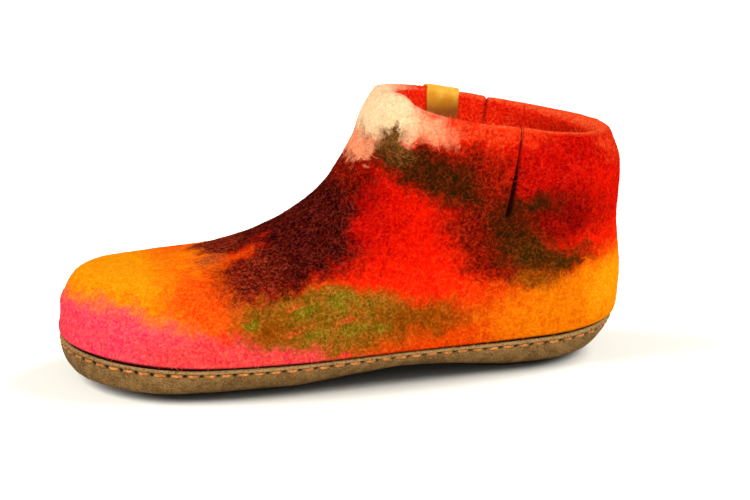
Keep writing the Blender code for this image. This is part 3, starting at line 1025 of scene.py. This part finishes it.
curl_set = shape_set("curls", [sliver(curl_path(), FIBRE_THICK, FIBRE_FLAT) for _ in range(CURLS)])
hair_set = shape_set("hairs", [sliver(hair_path(), HAIR_THIN * FIBRE_THICK) for _ in range(HAIRS)])
print(CURLS, "curls and", HAIRS, "hairs drawn")

# %% [markdown]
# ## Fibre finish
# A fibre has the colour of the wool that it was pulled from, which may lie a few millimetres away, so its
# root is pushed about before the patches are asked. A random number per fibre makes some of them paler.

# %% Fibre finish
STRAY = (1.0, 8.0)


def stray_fibre():
    f = Finish("stray_fibre", Roughness=0.9, Specular_IOR_Level=0.0)
    root = f.in_table(f.node("ShaderNodeAttribute", {"attribute_name": "root"}, {}, 1))
    mass, fibre = upper_colours(f, torn(f, root, TEARS + [STRAY]), "mass", "fibre")
    shade = f.mix(f.number("tint").step(0.15, 0.60), mass, fibre)
    return f.finish(f.noise(f.place(), 0.3), 0.02, Base_Color=shade)


STRAY_FIBRE = stray_fibre()
print("fibre finish has", len(STRAY_FIBRE.node_tree.nodes), "nodes")

# %% [markdown]
# ## Scatter the fibres
# The recipe drops points on the felt where the nap number allows it, from one x to another so that no piece
# grows too large. It remembers each root and a random tint, turns the curl about the surface normal and
# scales it.

# %% Scatter recipe
TINT_SEED, SPIN_SEED, KIND_SEED, SIZE_SEED = 3, 5, 7, 9
FULL_TURN = 6.2832
scatter = Recipe(
    "scatter_fibres", density="Float", from_x="Float", to_x="Float", seed="Int", kinds="Int",
    shapes="Collection", material="Material",
)
where = scatter.node("GeometryNodeInputPosition", {}, {})
x = scatter.axis(where, 0)
nap = scatter.node("GeometryNodeInputNamedAttribute", {"data_type": "FLOAT"}, {0: "nap"})
after = x.sum("GREATER_THAN", x, scatter.given("from_x"))
before = x.sum("LESS_THAN", x, scatter.given("to_x"))
thick = scatter.given("density") * nap * after * before
sockets = {0: scatter.given("Geometry"), "Density": thick, "Seed": scatter.given("seed")}
dots = scatter.node("GeometryNodeDistributePointsOnFaces", {"distribute_method": "RANDOM"}, sockets)
kept = scatter.keep(dots, "root", where, "FLOAT_VECTOR")
kept = scatter.keep(kept, "tint", scatter.chance(0.0, 1.0, TINT_SEED), "FLOAT")
sockets = {"Axis": (0, 0, 1), "Angle": scatter.chance(0.0, FULL_TURN, SPIN_SEED)}
spin = scatter.node("FunctionNodeAxisAngleToRotation", {}, sockets)
sockets = {0: scatter.both(dots, "Rotation"), 1: spin}
facing = scatter.node("FunctionNodeRotateRotation", {"rotation_space": "LOCAL"}, sockets)
pool = scatter.node("GeometryNodeCollectionInfo", {}, {0: scatter.given("shapes"), 1: True, 2: True})
placed = scatter.node("GeometryNodeInstanceOnPoints", {}, {
    "Points": kept, "Instance": pool, "Pick Instance": True, "Rotation": facing,
    "Instance Index": scatter.chance(0, scatter.given("kinds") - 1, KIND_SEED, "INT"),
    "Scale": scatter.chance(0.7, 1.25, SIZE_SEED),
})
scatter.serve(placed)
print("scatter recipe has", len(scatter.tree.nodes), "nodes")

# %% [markdown]
# ## Three coats of fibre
# Fibres lie all over the outside, the rim and the upper part of the inside. Three pieces share them from
# toe to heel, and a fourth holds the fuzz.

# %% Fibres and fuzz
PER_MM2 = 1e6
THIRDS = [-1.0, 0.090 - CENTRE[0] * MM, 0.180 - CENTRE[0] * MM, 1.0]
FIBRE_DENSITY = 0.09 * PER_MM2
FUZZ_DENSITY = 0.07 * PER_MM2
FIBRE_SEED, FUZZ_SEED = 20, 30
coats = []
for i, part in enumerate(["toe", "side", "heel"]):
    coats.append(scatter.run(
        felt_shell, f"fibres_{part}", density=FIBRE_DENSITY, from_x=THIRDS[i], to_x=THIRDS[i + 1],
        seed=FIBRE_SEED + i, kinds=CURLS, shapes=curl_set, material=STRAY_FIBRE,
    ))
coats.append(scatter.run(
    felt_shell, "felt_fuzz", density=FUZZ_DENSITY, from_x=THIRDS[0], to_x=THIRDS[-1],
    seed=FUZZ_SEED, kinds=HAIRS, shapes=hair_set, material=STRAY_FIBRE,
))
drop_set(curl_set)
drop_set(hair_set)
for coat in coats:
    place_piece(coat, "wool_felt")
    print(coat.name, triangles(coat), "triangles")

# %% [markdown]
# ## The sole
# The sole is a dish of suede leather drawn up round the felt. Its wall has a rolled lip, a sewn groove
# under it with a hole where each stitch goes in, and a puffed side that creeps out between the holes. The
# groove is cut into the mesh: it shows from every side, and a bump would be flat at the edge.

# %% Rows of the sole
LIP = 1.89
STITCH_LEVEL = 1.715
PITCH = 7.4
SOLE_COLUMNS = 1200
dish = [(level, LEATHER) for level in np.linspace(0.0, LIP - 0.07, 7)]
dish += [(LIP - 0.035, 2.35), (LIP - 0.01, 1.9), (LIP, 1.3), (LIP - 0.01, 0.65), (LIP - 0.035, 0.22)]
outside_from = len(dish)
dish += [(level, 0.0) for level in np.linspace(LIP - 0.07, 1.52, 18)]
dish += [(level, 0.0) for level in np.linspace(1.47, 0.5, 14)]
dish += [(level, 0.0) for level in np.linspace(0.42, 0.0, 6)]
dish_level, dish_depth = np.array(dish).T
sole_turn = np.linspace(0, 2 * np.pi, SOLE_COLUMNS, endpoint=False)

line = skin(sole_turn, STITCH_LEVEL)
steps = np.linalg.norm(np.roll(line, -1, axis=0) - line, axis=1)
STITCHES = int(round(steps.sum() / PITCH))
phase = np.concatenate([[0], np.cumsum(steps)[:-1]]) / steps.sum() * STITCHES
NEARBY = 0.05
above, under = skin(sole_turn, STITCH_LEVEL + NEARBY), skin(sole_turn, STITCH_LEVEL - NEARBY)
per_level = np.linalg.norm(above - under, axis=1) * (0.5 / NEARBY)
print(STITCHES, "stitches round", round(steps.sum()), "mm of sole edge")

# %% [markdown]
# ## Ladder lids
# A ring of points on a shoe needs a floor. A fan from the middle would crease the arch, so rungs run
# straight across from one side of the foot to the other, with a few points on each.

# %% Leather sole
HOLE_LONG, HOLE_HIGH, HOLE_DEEP = 1.15, 1.0, 1.2
SOLE_LUMPS = [Lump(15.0, 0.35, 5.0), Lump(4.5, 0.12, 9.0)]
Ridge = namedtuple("Ridge", "above reach tall")
PUFF = Ridge(-2.5, 1.9, 0.28)      # side that creeps out between the holes
UNDER_LIP = Ridge(1.7, 0.9, 0.25)  # roll between the groove and the lip
GROOVE = Ridge(0.0, 1.0, -0.45)
EDGE_DEPTH, EDGE_FROM, EDGE_TO = 0.9, LIP - 0.08, 2.5
PUFF_FROM, UNDER_SHADE_FROM, FADE = 0.45, 0.85, 0.4


def ladder(ring, first, steps=8):
    """Points and faces of a floor across a ring that starts at the toe."""
    half = len(ring) // 2
    left, right = ring[1:half], ring[:half:-1]
    share = np.linspace(0, 1, steps + 1)[None, :, None]
    rungs = left[:, None] * (1 - share) + right[:, None] * share
    points = np.concatenate([rungs.reshape(-1, 3), ring[[0, half]]])
    toe, heel = first + len(points) - 2, first + len(points) - 1
    end = first + (half - 2) * (steps + 1)
    faces = strip_faces(half - 1, steps + 1, first)
    faces += [(toe, first + c + 1, first + c) for c in range(steps)]
    faces += [(heel, end + c, end + c + 1) for c in range(steps)]
    return points, faces


def dished(rings, lids):
    """Points and faces of rings joined in order, with a floor across the first and the last."""
    count = len(rings[0])
    points = list(rings)
    faces = strip_faces(len(rings), count, close_columns=True)
    for ring in lids:
        more, floor_faces = ladder(ring, sum(map(len, points)))
        points.append(more)
        faces += floor_faces
    return np.concatenate(points), faces


def ridge(form, across):
    """Height of a ridge or groove that runs along the sewn line."""
    return form.tall * bell(across, form.above, form.reach)


point, outward, _ = frame_at(sole_turn[None, :], dish_level[:, None])
across = (dish_level[:, None] - STITCH_LEVEL) * per_level
to_hole = np.abs(phase % 1 - 0.5) * PITCH
hole = np.clip(1 - (to_hole / HOLE_LONG) ** 2 - (across / HOLE_HIGH) ** 2, 0, 1)
swell = lumpy(point, SOLE_LUMPS)
swell += ridge(PUFF, across) * (0.5 + 0.5 * np.cos(2 * np.pi * phase))
swell += ridge(UNDER_LIP, across) + ridge(GROOVE, across)
swell = swell * np.clip((dish_level[:, None] - PUFF_FROM) / FADE, 0, 1) - HOLE_DEEP * hole
on_outside = np.arange(len(dish_level))[:, None] >= outside_from
sole_points = point - outward * (dish_depth[:, None] - np.where(on_outside, swell, 0))[..., None]
points, faces = dished(sole_points, [sole_points[0], sole_points[-1]])
spare = np.zeros(len(points) - sole_points[..., 0].size)
cut_edge = bell(dish_depth, EDGE_DEPTH, EDGE_DEPTH) * ((dish_level > EDGE_FROM) & (dish_depth < EDGE_TO))
# Painted shade on the sole's lower roll; its floors get it in full.
below = np.clip((UNDER_SHADE_FROM - dish_level) / FADE, 0, 1)
# The hole and under numbers carry painted shade: in the sewn holes, and on the lower roll and floors of the
# sole.
sole_values = {
    "hole": np.concatenate([np.where(on_outside, hole, 0).ravel(), spare]),
    "edge": np.concatenate([np.repeat(cut_edge, SOLE_COLUMNS), spare]),
    "under": np.concatenate([np.repeat(below, SOLE_COLUMNS), spare + 1]),
}
suede_sole = add_piece("suede_sole", points, faces, sole_values)
print("suede sole", triangles(suede_sole), "triangles")

# %% [markdown]
# ## Suede
# Suede is leather with its flesh side out. Its short nap lies this way and that, so the colour is cloudy,
# pale where it is rubbed and dark where it is pressed. The cut edge of the lip shows the pale inside of the
# hide. Shade is painted into the sewn holes and onto the lower roll and the underside of the sole.

# %% Suede finish
HIDE_DARK, HIDE_PALE = (100, 70, 35), (136, 101, 56)
NAP_RUBBED, NAP_PRESSED = (180, 140, 86), (60, 37, 14)
RAW_EDGE, UNDERSIDE_SHADE, HOLE_SHADE = (210, 170, 108), (34, 22, 12), (48, 22, 8)


def suede():
    f = Finish("suede_leather", Roughness=0.92, Specular_IOR_Level=0.1)
    place = f.place()
    cloud = f.noise(torn(f, place, [(9.0, 6.0)]), 6.0, 3.0, 0.6)
    nap = f.noise(place, 0.8, 3.0, 0.65)
    colour = f.mix(cloud.step(0.30, 0.72), tone(HIDE_DARK), tone(HIDE_PALE))
    colour = f.mix(nap.step(0.45, 0.75) * 0.6, colour, tone(NAP_RUBBED))
    colour = f.mix(nap.step(0.48, 0.25) * 0.6, colour, tone(NAP_PRESSED))
    colour = f.mix(f.number("edge") * nap.step(0.30, 0.60) * 0.85, colour, tone(RAW_EDGE))
    # Painted shade on the lower roll and the underside of the sole.
    colour = f.mix(f.number("under") * 0.85, colour, tone(UNDERSIDE_SHADE))
    # Painted shade in the sewn holes.
    colour = f.mix(f.number("hole").step(0.10, 0.75) * 0.9, colour, tone(HOLE_SHADE))
    return f.finish(nap + 0.5 * f.noise(place, 2.4), 0.22, Base_Color=colour)


SUEDE = suede()
suede_sole.data.materials.append(SUEDE)
place_piece(suede_sole, "suede_leather", "leather_sole")
print("suede finish has", len(SUEDE.node_tree.nodes), "nodes")

# %% [markdown]
# ## The running stitch
# A thick waxed thread runs round the edge in stitches about 5 mm long that dive into the holes. The stitch
# is one bent tube, and the recipe walks it along the sewn line: the curve is cut into even steps, and each
# stitch is turned to the line's direction and to the outward direction that the line carries with it.

# %% Stitches
STITCH_HALF, THREAD, DIVE, STITCH_SUNK = 2.7, 0.72, 1.3, 0.12
STITCH_TAPER, STITCH_FLAT = 0.35, 0.8
WAX_DARK, WAX_PALE = (170, 94, 32), (222, 140, 64)


def stitch_shape(sides=8, stations=9):
    u = np.linspace(-1, 1, stations)
    around = np.linspace(0, 2 * np.pi, sides, endpoint=False)
    fat = THREAD * (1 - STITCH_TAPER * u**4)
    low = -STITCH_SUNK - DIVE * np.abs(u) ** 3.5
    points = [
        (STITCH_HALF * a, w * np.cos(r), z + STITCH_FLAT * w * np.sin(r))
        for a, w, z in zip(u, fat, low) for r in around
    ]
    faces = strip_faces(stations, sides, close_columns=True)
    faces += [tuple(range(sides)), tuple(range((stations - 1) * sides, stations * sides))[::-1]]
    return points, faces


def thread():
    f = Finish("waxed_thread", Roughness=0.6, Specular_IOR_Level=0.3)
    place = f.place()
    colour = f.mix(f.noise(place, 1.6, 2.0).step(0.35, 0.7), tone(WAX_DARK), tone(WAX_PALE))
    return f.finish(f.noise(place, 0.35, 2.0), 0.12, Base_Color=colour)


seam_mesh = bpy.data.meshes.new("seam")
seam_points, seam_out, _ = frame_at(sole_turn, np.full(SOLE_COLUMNS, STITCH_LEVEL))
ids = np.arange(SOLE_COLUMNS)
links = np.column_stack([ids, np.roll(ids, -1)])
seam_mesh.from_pydata(((seam_points - CENTRE) * MM).tolist(), links.tolist(), [])
carried = seam_mesh.attributes.new("outward", "FLOAT_VECTOR", "POINT")
carried.data.foreach_set("vector", seam_out.astype(np.float32).ravel())
seam = new_object("seam", seam_mesh)

sew = Recipe("sew_along", count="Int", shapes="Collection", material="Material")
curve = sew.node("GeometryNodeMeshToCurve", {}, {0: sew.given("Geometry")})
sockets = {"Curve": curve, "Count": sew.given("count")}
even = sew.node("GeometryNodeResampleCurve", {"mode": "COUNT"}, sockets)
ahead = sew.node("GeometryNodeInputTangent", {}, {})
out = sew.node("GeometryNodeInputNamedAttribute", {"data_type": "FLOAT_VECTOR"}, {0: "outward"})
axes = {"primary_axis": "X", "secondary_axis": "Z"}
facing = sew.node("FunctionNodeAxesToRotation", axes, {0: ahead, 1: out})
pool = sew.node("GeometryNodeCollectionInfo", {}, {0: sew.given("shapes")})
sockets = {"Points": even, "Instance": pool, "Rotation": facing}
sewn = sew.node("GeometryNodeInstanceOnPoints", {}, sockets)
sew.serve(sewn)

stitch_set = shape_set("stitch", [stitch_shape()], smooth=True)
stitches = sew.run(seam, "sole_stitches", count=STITCHES, shapes=stitch_set, material=thread())
drop_set(stitch_set)
bpy.data.objects.remove(seam)
place_piece(stitches, "suede_leather")
print("stitches", triangles(stitches), "triangles")

# %% [markdown]
# ## Insole
# A loose felt sole lies inside. It is seen only from above, through the collar, so it needs an even surface
# that turns up a little at its border, and a plain felt like that of the lining.

# %% Insole
INSOLE_EASE = 0.35
INSOLE_DARK, INSOLE_PALE = (150, 40, 22), (188, 62, 30)
INSOLE_CURLS, INSOLE_MOTTLE_AND_SHADE = (226, 120, 74), (84, 18, 10)
insole_turn = np.linspace(0, 2 * np.pi, 240, endpoint=False)


def ring_under(level, depth, ease=0.0):
    point, outward, _ = frame_at(insole_turn, np.full(insole_turn.shape, level))
    flat = unit(outward * [1, 1, 0])
    return point - outward * depth - flat * ease


insole_rings = [
    ring_under(0.0, BED),
    ring_under(UPPER_FOOT, BED, INSOLE_EASE),
    ring_under(UPPER_FOOT, BED + 0.5 * FELT, 0.6 * INSOLE_EASE),
    ring_under(UPPER_FOOT, BED + 0.9 * FELT, INSOLE_EASE),
    ring_under(UPPER_FOOT - 0.05, BED + FELT, INSOLE_EASE),
    ring_under(0.0, BED + FELT),
]
points, faces = dished(np.array(insole_rings), [insole_rings[0], insole_rings[-1]])
insole = add_piece("insole", points, faces)


def insole_felt():
    f = Finish("insole_felt", Roughness=0.95, Specular_IOR_Level=0.1, Sheen_Weight=0.1)
    place = f.place()
    clumps = f.noise(place, 1.4, 3.0)
    colour = f.mix(f.noise(place, 14.0).step(0.35, 0.7), tone(INSOLE_DARK), tone(INSOLE_PALE))
    colour = f.mix(curls(f, place, 2.6, 0.05) * 0.45, colour, tone(INSOLE_CURLS))
    # Darker where the bump is low: partly the felt's own mottle, partly painted shade in the hollows.
    colour = f.mix(clumps.step(0.5, 0.25) * 0.6, colour, tone(INSOLE_MOTTLE_AND_SHADE))
    return f.finish(clumps + f.noise(place, 0.6), 0.35, Base_Color=colour)


insole.data.materials.append(insole_felt())
place_piece(insole, "insole_felt", "felt_insole")
print("insole", triangles(insole), "triangles")

# %% [markdown]
# ## Pull tab
# A short strip of smooth leather is folded over the collar. It is swept along that path as a rounded
# section, riding on the same lumps as the felt so that it never sinks in. Shade is painted on the lower
# part of its leg inside the collar.

# %% Pull tab
STRAP = 1.3
TAB_FROM, TAB_TO = 178.6, 195.4
TAB_FOOT = COLLAR - 1.55
TAB_SECTION = 28
SQUARE_SIDES, SQUARE_FACES = 0.22, 0.45
INNER_LEG = 4.0  # an angle past half a turn stands for the leg inside the collar
TAB_TAN, TAB_PALE = (240, 166, 26), (252, 192, 60)
TAB_LEG_SHADE, TAB_PORES = (150, 70, 0), (150, 88, 8)
LEG_SHADE_FROM, LEG_SHADE_FULL = 116.0, 106.0


def power(v, p):
    return np.sign(v) * np.abs(v) ** p


def tab_section(level, angle, shrink):
    """One section round the strip, at a level on a leg or an angle over the rim."""
    phi = np.linspace(0, 2 * np.pi, TAB_SECTION, endpoint=False)
    width = (TAB_TO - TAB_FROM) / 2 - STRAP / 2 * (1 - shrink)
    x = (TAB_FROM + TAB_TO) / 2 + width * power(np.cos(phi), SQUARE_SIDES)
    lift = SPACE + STRAP / 2 + shrink * STRAP / 2 * power(np.sin(phi), SQUARE_FACES)
    level = np.full(phi.shape, level)
    point, outward, up = frame_at(turn_at(x, level), level)
    lift = lift + relief(point, level)
    if angle is None:
        return point + outward * lift[:, None]
    if angle > np.pi:
        return point - outward * (FELT + lift)[:, None]
    middle = point - outward * FELT / 2
    return middle + (FELT / 2 + lift)[:, None] * (np.cos(angle) * outward + np.sin(angle) * up)


leg = [(TAB_FOOT - 0.045, 0.35), (TAB_FOOT - 0.03, 0.7)]
leg += [(level, 1.0) for level in np.linspace(TAB_FOOT, COLLAR, 16)[:-1]]
stations = [(level, None, shrink) for level, shrink in leg]
stations += [(COLLAR, angle, 1.0) for angle in np.linspace(0, np.pi, 17)]
stations += [(level, INNER_LEG, shrink) for level, shrink in leg[::-1]]
points = np.concatenate([tab_section(*station) for station in stations])
faces = strip_faces(len(stations), TAB_SECTION, close_columns=True)
faces += [tuple(range(TAB_SECTION)), tuple(range(len(points) - TAB_SECTION, len(points)))[::-1]]
inner_leg = [angle is not None and angle > np.pi for _, angle, _ in stations]
tab = add_piece("leather_tab", points, faces, {"inner_leg": np.repeat(inner_leg, TAB_SECTION)})


def smooth_leather():
    f = Finish("tab_leather", Specular_IOR_Level=0.25)
    place = f.place()
    cloud = f.noise(place, 5.0, 2.0)
    pores = f.noise(place, 0.35, 2.0)
    # Painted shade: the leg inside the collar darkens toward its foot.
    inner_leg_shade = f.axis(place, 2).step(LEG_SHADE_FROM, LEG_SHADE_FULL) * f.number("inner_leg")
    colour = f.mix(cloud.step(0.35, 0.7), tone(TAB_TAN), tone(TAB_PALE))
    colour = f.mix(inner_leg_shade * 0.95, colour, tone(TAB_LEG_SHADE))
    colour = f.mix(pores.step(0.42, 0.3) * 0.3, colour, tone(TAB_PORES))
    return f.finish(pores, 0.05, Base_Color=colour, Roughness=0.42 + 0.25 * cloud)


tab.data.materials.append(smooth_leather())
place_piece(tab, "tab_leather", "pull_tab")
print("pull tab", triangles(tab), "triangles")

# %% [markdown]
# ## Floor, light and camera
# The shoe stands on a plain white floor in a white room, as in a light tent. Three soft lamps, in front
# and at both ends, give it form. Two more light only the floor, so that the shadow stays short and dark
# under the arch. The camera looks from a little above and from the toe side, through a long lens.

# %% Floor, light and camera
FLOOR, FLOOR_Z = 8.0, -0.0002
PAPER = (0.26, 0.25, 0.225, 1)  # white once its two lamps are on
ROOM_LIGHT = 0.9
floor_mesh = bpy.data.meshes.new("floor")
corners = [(-FLOOR, -FLOOR), (FLOOR, -FLOOR), (FLOOR, FLOOR), (-FLOOR, FLOOR)]
floor_mesh.from_pydata([(*corner, FLOOR_Z) for corner in corners], [], [(0, 1, 2, 3)])
floor = new_object("floor", floor_mesh)
paper = Finish("paper", Roughness=0.9, Specular_IOR_Level=0.0)
paper.put(paper.shader.inputs["Base Color"], PAPER)
floor_mesh.materials.append(paper.material)

scene = bpy.context.scene
world = bpy.data.worlds.new("white_room")
world.use_nodes = True
sky = world.node_tree.nodes["Background"].inputs
sky["Color"].default_value = (1, 1, 1, 1)
sky["Strength"].default_value = ROOM_LIGHT
scene.world = world

floor_only = bpy.data.collections.new("floor_only")
not_floor = bpy.data.collections.new("not_floor")
for group in (floor_only, not_floor):
    group.objects.link(floor)
not_floor.collection_objects[0].light_linking.link_state = "EXCLUDE"
Lamp = namedtuple("Lamp", "name place spread strength lights")
LAMPS = [
    Lamp("front_softbox", (-0.1, -1.0, 0.8), 60.0, 1.6, not_floor),
    Lamp("left_panel", (-1.0, -0.3, 0.7), 80.0, 0.8, not_floor),
    Lamp("right_panel", (1.0, -0.3, 0.7), 80.0, 0.8, not_floor),
    Lamp("floor_left", (-1.0, 0.2, 0.7), 50.0, 17.5, floor_only),
    Lamp("floor_right", (1.0, 0.2, 0.7), 50.0, 17.5, floor_only),
]
for lamp in LAMPS:
    light = bpy.data.lights.new(lamp.name, "SUN")
    light.angle = np.radians(lamp.spread)
    light.energy = lamp.strength
    holder = new_object(lamp.name, light)
    holder.light_linking.receiver_collection = lamp.lights
    holder.location = lamp.place
    holder.rotation_euler = (-Vector(lamp.place)).to_track_quat("-Z", "Y").to_euler()

AZIMUTH, ELEVATION, ROLL = np.radians([-14.07, 15.66, 0.35])
DISTANCE, SHIFT_RIGHT, SHIFT_UP = 1253.5, 13.76, 50.05
LENS, SENSOR = 129.9, 36.0
flat = np.cos(ELEVATION)
backward = np.array([np.sin(AZIMUTH) * flat, -np.cos(AZIMUTH) * flat, np.sin(ELEVATION)])
right = np.array([np.cos(AZIMUTH), np.sin(AZIMUTH), 0.0])
above = np.cross(backward, right)
eye = (DISTANCE * backward + SHIFT_RIGHT * right + SHIFT_UP * above) * MM
rightward = np.cos(ROLL) * right + np.sin(ROLL) * above
upward = np.cos(ROLL) * above - np.sin(ROLL) * right
camera = new_object("camera", bpy.data.cameras.new("camera"))
camera.data.lens = LENS
camera.data.sensor_width = SENSOR
turned = np.eye(4)
turned[:3] = np.column_stack([rightward, upward, backward, eye])
camera.matrix_world = Matrix(turned.tolist())
scene.camera = camera
scene.view_settings.view_transform = "Standard"
print("camera at", np.round(eye, 3))
